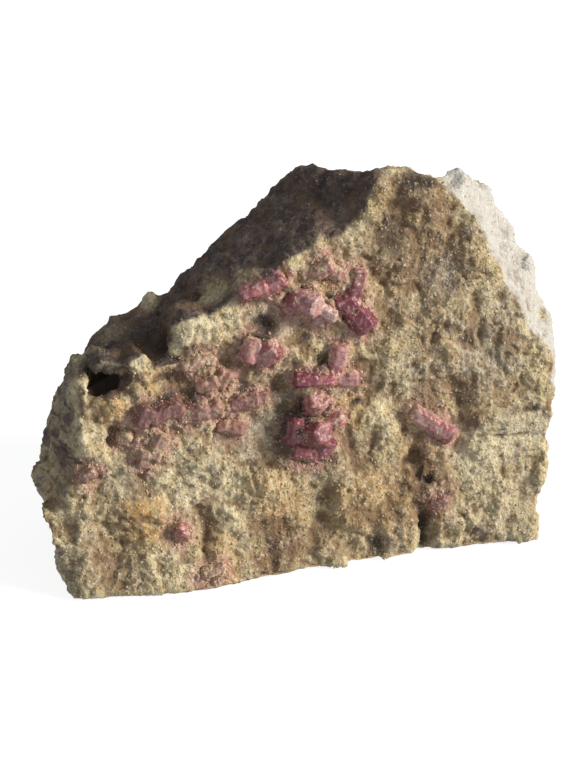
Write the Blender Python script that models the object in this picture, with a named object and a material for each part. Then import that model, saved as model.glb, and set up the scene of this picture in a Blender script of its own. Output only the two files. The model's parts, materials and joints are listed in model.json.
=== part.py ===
"""Red beryl on rhyolite: a broken hand specimen that stands on a flat foot, rose-red crystals set in its front.

Run with: blender --background --python part.py
Sizes are in millimetres and are turned into metres where a mesh is made. +Z is up, the front looks along -Y,
and the origin lies on the foot, under the middle of the stone.
"""

import math

import bmesh
import bpy
from mathutils import Matrix, Vector, noise
from mathutils.bvhtree import BVHTree

MM = 0.001

# The stone's front leans back from the edge that it stands on, and its back bulges a little past its foot.
FRONT_FOOT_Y = -13.0
FRONT_LEAN_DEG = 12.0
BACK_FOOT_Y = 13.2
BACK_BELLY_Y = 14.2
BACK_SHOULDER_Y = 9.8
BELLY_HEIGHT_SHARE = 0.38
SHOULDER_HEIGHT_SHARE = 0.76
BLANK_HALF_LENGTH = 36.0
SECTION_SPACING = 1.0
BELOW_FOOT = 2.0

# The stone rests on a flat sole, a little lower than the worn edges round it: x and y of its corners.
SOLE = ((-27.6, -11.2), (25.4, -10.3), (28.8, 8.6), (-24.0, 9.6))
SOLE_DROP = 0.3
SOLE_ROOT = 0.8

# The upper edge of the front, from the left end to the right: x and height. It lies on the leaning front.
FRONT_ARRIS = (
    (-36.0, 16.0),
    (-28.0, 20.0),
    (-24.4, 22.4),
    (-19.1, 24.7),
    (-15.0, 25.4),
    (-13.7, 27.0),
    (-11.9, 30.7),
    (-8.2, 32.6),
    (-2.7, 35.3),
    (2.7, 37.3),
    (7.2, 40.6),
    (8.4, 44.7),
    (17.3, 43.7),
    (36.0, 43.0),
)

# The skyline of the stone, behind that edge: x, y and height.
RIDGE = (
    (-36.0, -2.0, 9.5),
    (-30.4, -2.0, 12.8),
    (-28.7, 0.0, 18.6),
    (-26.6, 1.0, 23.2),
    (-24.1, 2.0, 25.5),
    (-21.4, 3.0, 27.0),
    (-18.0, 3.5, 28.9),
    (-15.0, 3.5, 29.5),
    (-12.7, 5.0, 32.1),
    (-9.8, 6.0, 33.9),
    (-5.0, 6.0, 37.1),
    (-0.8, 6.0, 40.3),
    (0.6, 6.0, 41.7),
    (1.6, 5.5, 43.8),
    (7.4, 1.5, 42.9),
    (8.8, -1.5, 43.7),
    (17.3, -1.5, 43.2),
    (23.6, 3.0, 41.4),
    (36.0, 4.0, 41.0),
)

# Break faces that trim the stone: a point on each, the way that it looks (0 is -Y, 90 is +X) and how far it
# looks up, in degrees.
RIGHT_BREAKS = (
    ((28.1, -8.1, 23.1), 65.0, 29.5),
    ((32.1, 2.0, 28.0), 115.0, 29.0),
    ((33.2, 0.0, 22.9), 115.0, 12.0),
    ((29.2, -8.7, 20.1), 76.0, -4.5),
    ((26.0, 11.0, 10.0), 150.0, 6.0),
)
LEFT_BREAKS = (
    ((-31.9, -12.0, 5.0), -102.0, -20.0),
    ((-22.0, 10.0, 12.0), -150.0, 12.0),
)
LEFT_SHOULDER_BREAK = ((-28.0, -8.8, 20.0), -75.0, 11.0)
LEDGE_BREAK = ((-29.0, -10.5, 11.0), -60.0, 80.0)

# Forms on the front, each as x, height, half width, half height, slant in degrees and how far it stands out.
FRONT_FORMS = (
    (-6.8, 16.4, 4.6, 3.4, 10.0, -1.5),
    (-4.0, 21.0, 2.2, 2.6, 0.0, -1.1),
    (-9.6, 23.4, 2.6, 2.0, 30.0, -0.8),
    (-4.4, 29.3, 2.8, 1.7, 0.0, -1.1),
    (-0.6, 27.8, 2.6, 1.2, 0.0, -0.9),
    (-13.9, 27.9, 2.9, 3.8, 0.0, 1.1),
    (-20.1, 24.2, 1.8, 2.8, -15.0, 0.9),
    (-24.2, 20.6, 2.6, 1.7, 0.0, 0.5),
    (-27.6, 21.0, 0.8, 4.6, 4.0, 0.7),
    (-22.6, 16.4, 2.2, 1.4, 0.0, -0.7),
    (-24.6, 7.8, 2.2, 3.4, 20.0, -0.9),
    (-20.6, 8.2, 3.2, 2.8, 0.0, 0.6),
    (-19.6, 3.2, 3.4, 2.8, 0.0, 0.8),
    (-27.5, 4.0, 2.4, 3.0, 0.0, 0.4),
    (-10.0, 3.0, 2.4, 3.6, 25.0, 0.5),
    (-6.0, 9.4, 2.2, 4.0, 0.0, 0.6),
    (-0.4, 5.6, 1.6, 6.0, -12.0, -0.6),
    (4.6, 8.0, 4.2, 3.6, 0.0, 0.5),
    (9.2, 4.6, 2.4, 3.6, 0.0, 0.6),
    (17.6, 10.6, 2.8, 4.0, 15.0, 0.7),
    (22.6, 5.4, 4.6, 4.0, 0.0, 0.5),
    (11.2, 38.2, 2.6, 4.2, 0.0, -0.9),
    (15.4, 33.0, 3.0, 3.4, 0.0, -0.5),
    (21.2, 23.4, 2.0, 3.0, 20.0, -0.9),
    (23.4, 28.0, 2.8, 1.8, 25.0, -0.5),
    (18.2, 27.0, 2.4, 4.0, 30.0, 0.5),
    (8.0, 22.6, 3.2, 4.0, 0.0, 0.4),
    (-0.9, 24.6, 1.5, 2.0, 0.0, 0.8),
    (4.4, 35.4, 2.6, 3.0, 0.0, 0.4),
    (-18.0, 0.0, 11.0, 3.4, 0.0, 2.0),
    (14.5, 0.5, 5.0, 2.6, 0.0, -1.0),
)

# Small deep pits, in the same terms.
PITS = (
    (-24.9, 23.6, 1.9, 1.1, 0.0, -2.8),
    (-17.0, 23.3, 2.2, 0.9, 8.0, -1.1),
    (-5.6, 28.6, 1.0, 0.8, 0.0, -1.0),
    (0.6, 23.5, 1.3, 1.1, 0.0, -1.2),
    (-24.0, 17.5, 0.9, 1.2, 0.0, -0.8),
    (-20.9, 14.6, 1.3, 1.1, 0.0, -0.9),
    (13.4, 8.8, 0.9, 0.8, 0.0, -1.3),
    (6.5, 1.9, 1.2, 1.5, 0.0, -1.2),
    (11.0, 15.2, 1.8, 1.0, -35.0, -1.0),
    (11.9, 27.7, 0.7, 0.7, 0.0, -0.7),
    (18.2, 24.6, 0.8, 0.8, 0.0, -0.8),
)

# Grooves and the edges of ledges: two ends, each x and height, the half width, and how far one side stands out
# over the other. A groove's two sides are level.
GROOVES = (
    ((12.9, 6.4), (12.2, -1.0), 0.8, -1.4),
    ((-14.6, 8.6), (-13.6, 3.4), 0.6, -0.6),
    ((11.6, 12.0), (11.8, 9.0), 0.5, -0.6),
    ((-29.4, 16.6), (-26.6, 14.6), 0.7, -0.8),
    ((17.6, 19.5), (17.2, 14.0), 0.5, -0.4),
)
LEDGES = (
    ((19.0, 16.4), (31.0, 15.9), 1.1, 0.9),
    ((-34.0, 11.6), (-26.0, 11.1), 0.8, 0.6),
    ((-10.4, 13.0), (2.0, 12.3), 1.2, 0.7),
    ((-5.6, 20.2), (4.8, 19.8), 0.7, -0.5),
)

# Lumps on the skyline: place, reach and how far they stand out.
SKYLINE_LUMPS = (
    ((-16.7, 3.5, 29.5), 1.1, 1.6),
    ((29.6, 2.0, 29.4), 1.8, 0.7),
    ((24.2, 2.0, 40.0), 2.0, 0.9),
    ((25.4, 2.0, 36.6), 1.4, -0.5),
    ((5.9, -2.0, 44.0), 0.7, -1.2),
    ((14.6, -2.6, 44.2), 1.6, -0.8),
    ((18.2, -2.5, 43.8), 2.0, -1.4),
)

# Broken stone comes away in small flat faces: their size, the steps between them and their slope.
HACKLE_CELLS = ((7.0, 0.7, 0.30), (3.0, 0.5, 0.35))
RISE_SHARE = 0.3
SWELL_SIZE = 16.0
SWELL_HEIGHT = 0.5

REMESH_CELL = 0.75
STONE_TRIANGLES = 6200

# A crystal lies in a socket with this much room round it.
SOCKET_GAP = 0.3
END_FACET = 0.28
UNEVEN_SIDES = 0.1

# The crystals, by the piece that they have grown into. Each prism: x, height, length, width, the slant of its
# axis on the front, how far it points out, its roll about its axis, all three in degrees, and how far its
# middle stands out of the stone, in millimetres.
CRYSTALS = {
    "beryl_right_prism": (
        "rose",
        ((13.9, 15.3, 5.9, 2.6, -34.0, 10.0, 10.0, 0.35),),
    ),
    "beryl_centre_cluster": (
        "rose",
        (
            (-2.5, 15.9, 3.2, 2.3, 78.0, 12.0, 0.0, 0.35),
            (-0.3, 15.7, 3.2, 3.1, 15.0, 60.0, 0.0, 0.55),
            (-1.5, 13.5, 3.0, 2.3, -15.0, 10.0, 0.0, 0.2),
            (0.7, 13.9, 2.8, 2.2, 65.0, 30.0, 12.0, 0.45),
            (1.9, 16.8, 2.8, 2.0, 20.0, 12.0, 0.0, 0.2),
        ),
    ),
    "beryl_centre_knob": (
        "rose",
        ((-0.1, 19.0, 3.2, 3.0, 75.0, 55.0, 0.0, 0.45),),
    ),
    "beryl_long_bar": (
        "deep",
        (
            (-0.3, 21.9, 4.8, 2.1, -2.0, 3.0, 0.0, 0.25),
            (3.3, 21.7, 3.8, 2.2, -6.0, 8.0, 20.0, 0.3),
            (2.8, 24.0, 3.4, 2.3, 78.0, 12.0, 0.0, 0.3),
        ),
    ),
    "beryl_pale_crystal": (
        "pale",
        (
            (-0.8, 30.6, 3.4, 3.2, -24.0, 42.0, 0.0, 0.65),
            (1.5, 29.4, 2.8, 1.8, -35.0, 12.0, 20.0, 0.5),
            (-2.5, 30.5, 2.4, 2.3, 50.0, 5.0, 0.0, 0.2),
            (1.0, 28.6, 2.0, 1.6, 60.0, 10.0, 0.0, 0.15),
        ),
    ),
    "beryl_deep_crystal": (
        "deep",
        (
            (5.3, 28.6, 4.2, 3.0, -56.0, 14.0, 10.0, 0.5),
            (3.9, 30.2, 2.4, 2.2, 10.0, 8.0, 0.0, 0.3),
            (5.3, 31.9, 4.4, 2.1, 74.0, 8.0, 0.0, 0.2),
        ),
    ),
    "beryl_edge_cluster": (
        "rose",
        (
            (-6.8, 32.5, 3.2, 2.3, 14.0, 8.0, 0.0, 0.35),
            (-4.4, 33.1, 2.9, 2.4, 35.0, 20.0, 10.0, 0.45),
        ),
    ),
    "beryl_top_cluster": (
        "pale",
        (
            (1.4, 34.3, 2.7, 2.2, 30.0, 22.0, 0.0, 0.25),
            (2.8, 33.7, 2.3, 1.9, -40.0, 10.0, 0.0, 0.15),
        ),
    ),
    "beryl_left_knob": (
        "rose",
        (
            (-5.6, 25.4, 3.0, 2.7, 42.0, 36.0, 0.0, 0.5),
            (-7.5, 25.9, 2.9, 2.4, 70.0, 10.0, 0.0, 0.2),
        ),
    ),
    "beryl_band_left": (
        "dusky",
        (
            (-20.2, 19.7, 2.6, 2.3, 60.0, 10.0, 0.0, 0.2),
            (-17.7, 20.0, 4.2, 2.5, 20.0, 6.0, 0.0, 0.3),
            (-14.6, 19.5, 3.8, 2.6, 8.0, 12.0, 0.0, 0.45),
            (-12.4, 19.8, 2.6, 2.3, 30.0, 16.0, 10.0, 0.4),
        ),
    ),
    "beryl_band_right": (
        "dusky",
        (
            (-8.5, 20.1, 3.6, 2.1, 8.0, 6.0, 0.0, 0.35),
            (-6.9, 20.4, 2.4, 1.8, -5.0, 14.0, 15.0, 0.25),
        ),
    ),
    "beryl_upper_pair": (
        "dusky",
        (
            (-14.2, 24.9, 2.6, 1.8, 20.0, 8.0, 0.0, 0.15),
            (-12.5, 25.2, 2.3, 1.7, -25.0, 12.0, 0.0, 0.2),
        ),
    ),
    "beryl_peach_pair": (
        "peach",
        (
            (-10.9, 22.9, 2.5, 2.1, 60.0, 25.0, 0.0, 0.35),
            (-12.7, 22.4, 2.7, 1.9, 15.0, 14.0, 0.0, 0.25),
        ),
    ),
    "beryl_peach_crystal": (
        "peach",
        ((-10.2, 17.3, 3.4, 2.0, -14.0, 8.0, 0.0, 0.35),),
    ),
    "beryl_lower_left_cluster": (
        "dusky",
        (
            (-18.8, 16.1, 3.4, 2.2, 62.0, 10.0, 0.0, 0.35),
            (-20.4, 15.0, 2.4, 2.2, 84.0, 28.0, 0.0, 0.3),
        ),
    ),
    "beryl_left_grain": (
        "dusky",
        ((-22.4, 17.4, 2.0, 1.8, 12.0, 30.0, 0.0, 0.25),),
    ),
    "beryl_corner_grain": (
        "dusky",
        ((-26.9, 13.7, 2.0, 1.6, 40.0, 10.0, 0.0, 0.2),),
    ),
    "beryl_lone_crystal": (
        "deep",
        ((-16.7, 6.1, 2.3, 2.1, 65.0, 60.0, 0.0, 0.35),),
    ),
    "beryl_foot_crystal": (
        "dusky",
        ((-13.6, 1.6, 3.0, 1.8, 12.0, 5.0, 0.0, 0.2),),
    ),
    "beryl_groove_crystal": (
        "rose",
        ((14.2, 6.2, 2.3, 1.6, 20.0, 10.0, 0.0, 0.15),),
    ),
}

# Colour and roughness of the stone and of the kinds of crystal.
STONE_TINT = ((0.55, 0.47, 0.33), 0.9)
CRYSTAL_TINTS = {
    "rose": ((0.50, 0.14, 0.18), 0.3),
    "deep": ((0.38, 0.05, 0.11), 0.3),
    "pale": ((0.62, 0.26, 0.31), 0.3),
    "dusky": ((0.42, 0.15, 0.17), 0.4),
    "peach": ((0.60, 0.28, 0.22), 0.4),
}

LEAN = math.radians(FRONT_LEAN_DEG)
FRONT_OUT = Vector((0, -math.cos(LEAN), math.sin(LEAN)))
FRONT_UP = Vector((0, math.sin(LEAN), math.cos(LEAN)))
FRONT_ACROSS = Vector((1, 0, 0))


def clear_scene():
    for obj in list(bpy.data.objects):
        bpy.data.objects.remove(obj)


def paint(obj, tint):
    """Gives obj its own Principled material."""
    colour, roughness = tint
    material = bpy.data.materials.new(obj.name)
    material.use_nodes = True
    shader = material.node_tree.nodes["Principled BSDF"]
    shader.inputs["Base Color"].default_value = (*colour, 1)
    shader.inputs["Roughness"].default_value = roughness
    shader.inputs["Metallic"].default_value = 0
    material.diffuse_color = (*colour, 1)
    obj.data.materials.clear()
    obj.data.materials.append(material)


def new_object(name, bm):
    """An object with the mesh of bm, which is in millimetres until here."""
    bmesh.ops.scale(bm, vec=(MM, MM, MM), verts=bm.verts)
    mesh = bpy.data.meshes.new(name)
    bm.to_mesh(mesh)
    bm.free()
    obj = bpy.data.objects.new(name, mesh)
    bpy.context.scene.collection.objects.link(obj)
    return obj


def apply_modifiers(obj):
    """Leaves obj with the mesh that its modifiers make."""
    bpy.context.view_layer.update()
    graph = bpy.context.evaluated_depsgraph_get()
    made = bpy.data.meshes.new_from_object(obj.evaluated_get(graph))
    obj.modifiers.clear()
    obj.data = made


def along(rail, x):
    """The rail's other coordinates at x, on straight lines between its corners."""
    for left, right in zip(rail, rail[1:]):
        if x <= right[0]:
            share = (x - left[0]) / (right[0] - left[0])
            return [a + (b - a) * share for a, b in zip(left[1:], right[1:])]
    return rail[-1][1:]


def front_point(x, height):
    """The point of the plain leaning front at that x and height."""
    return Vector((x, FRONT_FOOT_Y + height * math.tan(LEAN), height))


def section(x):
    """The stone's outline across it at x, from the front foot over the skyline to the back foot."""
    (arris_height,) = along(FRONT_ARRIS, x)
    ridge_y, ridge_height = along(RIDGE, x)
    arris_y = front_point(x, arris_height).y
    below = front_point(x, -BELOW_FOOT)
    return (
        below,
        Vector((x, arris_y, arris_height)),
        Vector((x, ridge_y, ridge_height)),
        Vector((x, BACK_SHOULDER_Y, ridge_height * SHOULDER_HEIGHT_SHARE)),
        Vector((x, BACK_BELLY_Y, ridge_height * BELLY_HEIGHT_SHARE)),
        Vector((x, BACK_FOOT_Y, -BELOW_FOOT)),
    )


def blank():
    """The untrimmed stone, lofted through its sections."""
    bm = bmesh.new()
    count = round(2 * BLANK_HALF_LENGTH / SECTION_SPACING)
    rings = []
    for i in range(count + 1):
        points = section(-BLANK_HALF_LENGTH + i * SECTION_SPACING)
        rings.append([bm.verts.new(p) for p in points])
    for ring, following in zip(rings, rings[1:]):
        for k in range(len(ring)):
            after = (k + 1) % len(ring)
            bm.faces.new((ring[k], ring[after], following[after], following[k]))
    bm.faces.new(reversed(rings[0]))
    bm.faces.new(rings[-1])
    bmesh.ops.recalc_face_normals(bm, faces=bm.faces)
    return bm


def looks(azimuth_deg, dip_deg):
    """The unit vector of a face that looks that way and that far up."""
    azimuth, dip = math.radians(azimuth_deg), math.radians(dip_deg)
    return Vector(
        (math.sin(azimuth) * math.cos(dip), -math.cos(azimuth) * math.cos(dip), math.sin(dip))
    )


def break_off(bm, point, azimuth_deg, dip_deg):
    """Takes off what lies outside the break face and closes the stone there."""
    cut = bmesh.ops.bisect_plane(
        bm,
        geom=bm.verts[:] + bm.edges[:] + bm.faces[:],
        plane_co=Vector(point),
        plane_no=looks(azimuth_deg, dip_deg),
        clear_outer=True,
    )
    rim = [e for e in cut["geom_cut"] if isinstance(e, bmesh.types.BMEdge)]
    bmesh.ops.holes_fill(bm, edges=rim, sides=0)
    bmesh.ops.recalc_face_normals(bm, faces=bm.faces)


def rough_stone():
    """The trimmed stone as even small faces: the main block, and the low block that the left ledge tops."""
    main = blank()
    for face in (*RIGHT_BREAKS, *LEFT_BREAKS, LEFT_SHOULDER_BREAK):
        break_off(main, *face)
    low = blank()
    for face in (*RIGHT_BREAKS, *LEFT_BREAKS, LEDGE_BREAK):
        break_off(low, *face)
    stone = new_object("matrix", main)
    ledge_block = new_object("ledge_block", low)
    ledge_block.hide_render = True
    join = stone.modifiers.new("join", "BOOLEAN")
    join.operation = "UNION"
    join.object = ledge_block
    even = stone.modifiers.new("even", "REMESH")
    even.mode = "VOXEL"
    even.voxel_size = REMESH_CELL * MM
    apply_modifiers(stone)
    bpy.data.objects.remove(ledge_block)
    return stone


def falloff(distance):
    """1 at the middle, easing to 0 at a distance of 1."""
    return (1 - distance * distance) ** 2 if distance < 1 else 0.0


def form_height(form, x, height):
    """How far a form on the front stands out at that place."""
    at_x, at_height, half_width, half_height, slant, stands = form
    turn = math.radians(slant)
    dx, dh = x - at_x, height - at_height
    across = (dx * math.cos(turn) + dh * math.sin(turn)) / half_width
    upward = (dh * math.cos(turn) - dx * math.sin(turn)) / half_height
    return stands * falloff(math.hypot(across, upward) / 1.5)


def beside_line(ends, x, height):
    """The share along a line on the front, from 0 to 1 at its ends, and the distance to its left."""
    (x0, h0), (x1, h1) = ends
    length = math.hypot(x1 - x0, h1 - h0)
    ux, uh = (x1 - x0) / length, (h1 - h0) / length
    share = ((x - x0) * ux + (height - h0) * uh) / length
    return share, (height - h0) * ux - (x - x0) * uh


def end_fade(share):
    """1 along a line, easing to 0 just past its ends."""
    past = max(0.0, -share, share - 1)
    return max(0.0, 1 - 6 * past)


def front_relief(x, height):
    """The planned relief of the front at a place, in millimetres outwards."""
    out = sum(form_height(form, x, height) for form in FRONT_FORMS + PITS)
    for start, end, half_width, depth in GROOVES:
        share, side = beside_line((start, end), x, height)
        out += depth * falloff(abs(side) / (2 * half_width)) * end_fade(share)
    for start, end, reach, step in LEDGES:
        share, side = beside_line((start, end), x, height)
        below = max(0.0, min(1.0, (0.5 * reach - side) / reach))
        fade = math.exp(-max(0.0, -side) / (5 * reach))
        out += step * below * fade * end_fade(share)
    return out


def hackle(place, cell, step, slope):
    """Flat-faced steps, one face for each cell of a loose net, with a narrow rise between two faces."""
    spot = place / cell
    distances, centres = noise.voronoi(spot)
    levels = []
    for centre in centres[:2]:
        tilt = noise.cell_vector(centre) - Vector((0.5, 0.5, 0.5))
        rise = 0.5 * noise.cell(centre * 1.7 + Vector((5.1, 2.3, 7.9)))
        levels.append(step * rise + slope * cell * tilt.dot(spot - centre))
    own = 0.5 + 0.5 * min(1.0, (distances[1] - distances[0]) / RISE_SHARE)
    return levels[0] * own + levels[1] * (1 - own)


def drift(place):
    """A slow wander, so that the break faces do not lie on straight lines."""
    return Vector([noise.noise(place + Vector((0, 0, shift))) for shift in (0.0, 31.4, 62.8)])


def break_surface(stone):
    """Gives the even faces of the stone their forms, pits, ledges and hackly breaks."""
    bm = bmesh.new()
    bm.from_mesh(stone.data)
    bm.normal_update()
    moves = []
    for v in bm.verts:
        place = v.co / MM
        facing = max(0.0, min(1.0, (v.normal.dot(FRONT_OUT) - 0.15) / 0.4))
        out = v.normal * SWELL_HEIGHT * noise.noise(place / SWELL_SIZE)
        warped = place + drift(place / 5) * 1.5
        for cell, step, slope in HACKLE_CELLS:
            out += v.normal * hackle(warped, cell, step, slope)
        out += FRONT_OUT * front_relief(place.x, place.z) * facing
        for centre, reach, stands in SKYLINE_LUMPS:
            out += v.normal * stands * falloff((place - Vector(centre)).length / (1.6 * reach))
        moves.append(out * MM)
    for v, move in zip(bm.verts, moves):
        v.co += move
    bm.to_mesh(stone.data)
    bm.free()


def thin_out(stone):
    """Brings the stone down to the triangles that its forms need."""
    stone.data.calc_loop_triangles()
    fewer = stone.modifiers.new("fewer", "DECIMATE")
    fewer.ratio = STONE_TRIANGLES / len(stone.data.loop_triangles)
    apply_modifiers(stone)


def cut_foot(stone):
    """Cuts the stone off level, and joins to it the flat sole that it rests on."""
    bm = bmesh.new()
    bm.from_mesh(stone.data)
    break_off(bm, (0, 0, SOLE_DROP * MM), 0, -90)
    bm.to_mesh(stone.data)
    bm.free()
    sole_mesh = bmesh.new()
    corners = [sole_mesh.verts.new((x, y, 0)) for x, y in SOLE]
    base = sole_mesh.faces.new(corners)
    raised = bmesh.ops.extrude_face_region(sole_mesh, geom=[base], use_keep_orig=True)
    top = [v for v in raised["geom"] if isinstance(v, bmesh.types.BMVert)]
    bmesh.ops.translate(sole_mesh, vec=(0, 0, SOLE_DROP + SOLE_ROOT), verts=top)
    bmesh.ops.recalc_face_normals(sole_mesh, faces=sole_mesh.faces)
    sole = new_object("sole", sole_mesh)
    join = stone.modifiers.new("join", "BOOLEAN")
    join.operation = "UNION"
    join.object = sole
    apply_modifiers(stone)
    bpy.data.objects.remove(sole)


def prism(length, width, unevenness):
    """A six-sided prism along X, its sides uneven, with small slanting faces round each flat end."""
    bm = bmesh.new()
    bmesh.ops.create_cone(
        bm, cap_ends=True, segments=6, radius1=width / 2, radius2=width / 2, depth=length
    )
    for v in bm.verts:
        corner = round(math.atan2(v.co.y, v.co.x) / (math.pi / 3))
        reach = 1 + UNEVEN_SIDES * noise.cell(unevenness + Vector((0, 0, 2.5 * corner)))
        v.co.x *= reach
        v.co.y *= reach
    end_edges = [e for e in bm.edges if abs(e.verts[0].co.z - e.verts[1].co.z) < 0.5 * length]
    bmesh.ops.bevel(bm, geom=end_edges, offset=END_FACET, segments=1, affect="EDGES")
    bmesh.ops.rotate(bm, matrix=Matrix.Rotation(math.pi / 2, 3, "Y"), verts=bm.verts)
    bmesh.ops.recalc_face_normals(bm, faces=bm.faces)
    return bm


def seat_on_stone(tree, x, height, proud):
    """The point that stands that far out of the stone's surface there."""
    far_out = front_point(x, height) + FRONT_OUT * 20
    return tree.ray_cast(far_out * MM, -FRONT_OUT)[0] / MM + FRONT_OUT * proud


def place_prism(bm, seat, slant_deg, out_deg, roll_deg):
    """Turns a prism to its axis and moves its middle to its seat."""
    slant, out = math.radians(slant_deg), math.radians(out_deg)
    in_face = FRONT_ACROSS * math.cos(slant) + FRONT_UP * math.sin(slant)
    axis = in_face * math.cos(out) + FRONT_OUT * math.sin(out)
    side = axis.cross(FRONT_OUT).normalized()
    turn = Matrix((axis, side, axis.cross(side))).transposed()
    roll = Matrix.Rotation(math.radians(roll_deg), 3, "X")
    bmesh.ops.rotate(bm, matrix=turn @ roll, verts=bm.verts)
    bmesh.ops.translate(bm, vec=seat, verts=bm.verts)


def grown_together(name, prisms, tree, room):
    """One solid of the prisms, each larger by room on every side."""
    objects = []
    for i, (x, height, length, width, slant, out, roll, proud) in enumerate(prisms):
        wider = 2 * room / math.cos(math.pi / 6)
        bm = prism(length + 2 * room, width + wider, Vector((x, height, 0)))
        place_prism(bm, seat_on_stone(tree, x, height, proud), slant, out, roll)
        objects.append(new_object(name if i == 0 else f"{name}_{i}", bm))
    first, *others = objects
    for other in others:
        join = first.modifiers.new("join", "BOOLEAN")
        join.operation = "UNION"
        join.object = other
    apply_modifiers(first)
    for other in others:
        bpy.data.objects.remove(other)
    return first


def cut_sockets(stone, sockets):
    """Sinks the sockets into the stone and drops the crumbs that come loose between them."""
    for socket in sockets:
        cut = stone.modifiers.new(socket.name, "BOOLEAN")
        cut.object = socket
    apply_modifiers(stone)
    for socket in sockets:
        bpy.data.objects.remove(socket)
    bm = bmesh.new()
    bm.from_mesh(stone.data)
    left = set(bm.verts)
    bodies = []
    while left:
        body = grow_body(left.pop())
        left -= body
        bodies.append(body)
    bodies.sort(key=len)
    for crumb in bodies[:-1]:
        bmesh.ops.delete(bm, geom=list(crumb), context="VERTS")
    bm.to_mesh(stone.data)
    bm.free()


def grow_body(start):
    """Every vertex that hangs together with the first one."""
    body = {start}
    rim = [start]
    while rim:
        v = rim.pop()
        for edge in v.link_edges:
            other = edge.other_vert(v)
            if other not in body:
                body.add(other)
                rim.append(other)
    return body


def main():
    clear_scene()
    stone = rough_stone()
    break_surface(stone)
    thin_out(stone)
    cut_foot(stone)
    tree = BVHTree.FromObject(stone, bpy.context.evaluated_depsgraph_get())
    sockets = []
    for name, (tint, prisms) in CRYSTALS.items():
        crystal = grown_together(name, prisms, tree, 0.0)
        x, height, *_, proud = prisms[0]
        seat = seat_on_stone(tree, x, height, proud) * MM
        crystal.data.transform(Matrix.Translation(-seat))
        crystal.location = seat
        crystal.parent = stone
        paint(crystal, CRYSTAL_TINTS[tint])
        sockets.append(grown_together(f"socket_{name}", prisms, tree, SOCKET_GAP))
    cut_sockets(stone, sockets)
    paint(stone, STONE_TINT)


main()
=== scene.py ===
import json
import math

import bmesh
import bpy
import numpy as np
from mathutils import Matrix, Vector, noise
from mathutils.bvhtree import BVHTree


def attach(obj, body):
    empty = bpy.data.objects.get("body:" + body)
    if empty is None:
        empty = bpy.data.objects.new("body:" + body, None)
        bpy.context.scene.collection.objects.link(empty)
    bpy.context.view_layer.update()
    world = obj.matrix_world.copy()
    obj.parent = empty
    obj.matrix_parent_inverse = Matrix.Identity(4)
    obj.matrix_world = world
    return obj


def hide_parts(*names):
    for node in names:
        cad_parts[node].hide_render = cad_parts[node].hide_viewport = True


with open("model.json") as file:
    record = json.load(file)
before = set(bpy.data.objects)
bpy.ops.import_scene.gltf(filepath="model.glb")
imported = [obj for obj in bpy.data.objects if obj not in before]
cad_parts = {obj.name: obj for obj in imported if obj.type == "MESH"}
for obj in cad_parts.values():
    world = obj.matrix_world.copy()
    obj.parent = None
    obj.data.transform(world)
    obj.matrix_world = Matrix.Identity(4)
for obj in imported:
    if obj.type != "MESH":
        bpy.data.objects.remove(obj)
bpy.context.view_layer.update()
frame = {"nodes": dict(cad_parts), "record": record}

# --------------------------------------------------------------------------------------------------
# The block of rhyolite: one lump of sugary volcanic stone, broken out of its bed by hand. Its front
# is a rough break along which the crystals grew. The block is closed where the crystals sit, then
# made finer all over.
# --------------------------------------------------------------------------------------------------
MM = 0.001
DOUBLE_GAP = 0.002 * MM

# Lengths in millimetres: the cells of the block's mesh and of the crystals' grown skins, how far past
# a crystal its socket is filled, and how far round it a film of stone is drawn over the mouth.
STONE_CELL, SKIN_CELL = 0.20, 0.25
SOCKET_FILL, FILM_EDGE = 0.45, 0.15
FILM_ROUNDS, BREAK_SMOOTHING = 300, 6

# The back has little relief. So whatever looks away from the front, with this cosine to it or less,
# is coarsened until this share of the block's faces is left.
BACK_COSINE, BACK_SHARE = -0.12, 0.59

# The way each face looks: the leaning front and the breaks at the upper left, the right and the left.
LEAN = math.radians(12)
FRONT_OUT = Vector((0, -math.cos(LEAN), math.sin(LEAN)))
DARK_BREAK_OUT = Vector((-0.551, 0.173, 0.814))
PALE_BREAK_OUT = Vector((0.79, -0.364, 0.492))
LEFT_BREAK_OUT = Vector((-0.946, -0.26, 0.193))


def tree_of(objects):
    """One search tree of the surfaces of several objects, in metres."""
    bm = bmesh.new()
    for obj in objects:
        bm.from_mesh(obj.data)
    tree = BVHTree.FromBMesh(bm)
    bm.free()
    return tree


def skin_of(obj):
    """The object's mesh, ready to be worked on."""
    bm = bmesh.new()
    bm.from_mesh(obj.data)
    return bm


def add_piece(name, bm):
    """A new object with the mesh of bm, which is in metres."""
    mesh = bpy.data.meshes.new(name)
    bm.to_mesh(mesh)
    bm.free()
    piece = bpy.data.objects.new(name, mesh)
    bpy.context.scene.collection.objects.link(piece)
    return piece


def apply_modifiers(piece):
    """Leaves the piece with the mesh that its modifiers make."""
    bpy.context.view_layer.update()
    graph = bpy.context.evaluated_depsgraph_get()
    made = bpy.data.meshes.new_from_object(piece.evaluated_get(graph))
    piece.modifiers.clear()
    old = piece.data
    piece.data = made
    bpy.data.meshes.remove(old)


def remesh(piece, cell):
    """Gives the piece even small faces, cell millimetres across."""
    even = piece.modifiers.new("even", "REMESH")
    even.mode = "VOXEL"
    even.voxel_size = cell * MM
    apply_modifiers(piece)


def points_of(mesh):
    """The mesh's vertices as an array, in millimetres."""
    flat = np.empty(len(mesh.vertices) * 3, np.float32)
    mesh.vertices.foreach_get("co", flat)
    return flat.reshape(-1, 3).astype(float) / MM


def set_points(mesh, points):
    """Moves the mesh's vertices to those places, in millimetres."""
    mesh.vertices.foreach_set("co", (points * MM).astype(np.float32).ravel())
    mesh.update()


def normals_of(mesh):
    """The mesh's vertex normals as an array."""
    flat = np.empty(len(mesh.vertices) * 3, np.float32)
    mesh.vertex_normals.foreach_get("vector", flat)
    return flat.reshape(-1, 3).astype(float)


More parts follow.
